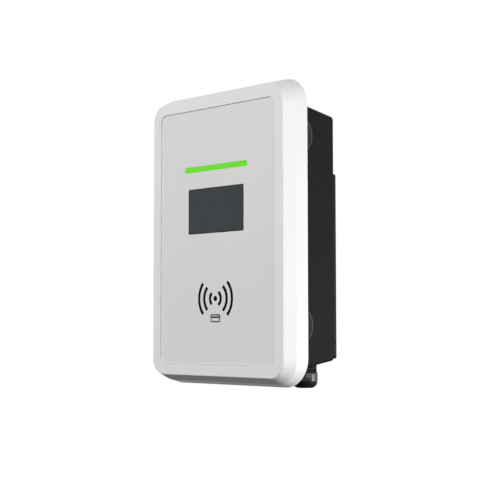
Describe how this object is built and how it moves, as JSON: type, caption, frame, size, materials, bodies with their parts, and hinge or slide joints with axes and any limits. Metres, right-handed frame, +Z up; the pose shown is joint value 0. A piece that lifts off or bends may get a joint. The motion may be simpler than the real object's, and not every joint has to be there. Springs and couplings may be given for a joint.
{
  "type": "ev wallbox",
  "caption": "Wall-mounted charging box for electric cars: flared white cover with light bar and display window, tapered dark housing, wall bracket and cable glands.",
  "frame": {"origin": "on the wall, on the bracket's back face, behind the middle of the front cover", "axes": "+X to the right seen from the room, +Y into the wall, +Z up"},
  "size_m": [0.2488, 0.097, 0.366],
  "materials": {
    "cover_white": "fine satin moulding",
    "panel_grey": "smooth satin panel",
    "window_smoke": "smoked gloss",
    "light_green": "lit light guide",
    "seal_rubber": "matt",
    "housing_black": "fine texture",
    "bracket_black": "powder coat",
    "steel": "zinc plated",
    "gland_black": "moulded",
    "board_green": "solder mask",
    "module_dark": "moulded",
    "header_black": "moulded",
    "lamp_white": "clear resin",
    "copper": "bare copper",
    "sensor_blue": "moulded",
    "tin": "tinned can",
    "ribbon_grey": "flat cable",
    "selector_blue": "moulded",
    "dial_white": "moulded",
    "button_red": "moulded",
    "relay_black": "moulded",
    "capacitor_sleeve": "shrunk sleeve",
    "terminal_grey": "moulded"
  },
  "bodies": {
    "box": {"button_base": "header_black", "capacitor_1": "capacitor_sleeve", "capacitor_2": "capacitor_sleeve", "capacitor_3": "capacitor_sleeve", "control_module": "tin", "cover_gasket": "seal_rubber", "cover_screws": "steel", "current_sensor": "sensor_blue", "display_board": "board_green", "display_header": "header_black", "display_module": "module_dark", "display_window": "window_smoke", "front_board_screws": "steel", "front_cover": "cover_white", "front_panel": "panel_grey", "left_relay": "relay_black", "light_bar": "light_green", "light_board": "board_green", "lock_screws": "steel", "lock_washers": "seal_rubber", "main_board": "board_green", "main_board_screws": "steel", "main_header": "header_black", "output_gland_body": "gland_black", "output_gland_insert": "seal_rubber", "output_gland_locknut": "gland_black", "output_gland_nut": "gland_black", "output_gland_seal": "seal_rubber", "output_terminal_screws": "steel", "output_terminals": "terminal_grey", "power_module": "module_dark", "reader_board": "board_green", "reader_coil": "copper", "rear_housing": "housing_black", "ribbon_cable": "ribbon_grey", "right_relay": "relay_black", "selector_base": "selector_blue", "sensor_links": "copper", "status_lamps": "lamp_white", "supply_gland_body": "gland_black", "supply_gland_insert": "seal_rubber", "supply_gland_locknut": "gland_black", "supply_gland_nut": "gland_black", "supply_gland_seal": "seal_rubber", "supply_terminal_screws": "steel", "supply_terminals": "terminal_grey", "wall_bracket": "bracket_black"},
    "selector": {"current_selector": "dial_white"},
    "button": {"reset_button": "button_red"}
  },
  "joints": [
    {"name": "selector_turn", "type": "hinge", "parent": "box", "child": "selector", "pos_m": [-0.022, -0.0306, 0.018], "axis": [0, -1, 0], "range_deg": [0, 324]},
    {"name": "button_press", "type": "slide", "parent": "box", "child": "button", "axis": [0, 1, 0], "range_m": [0, 0.0015], "stiffness_N_per_m": 400, "springref_m": -0.002}
  ]
}
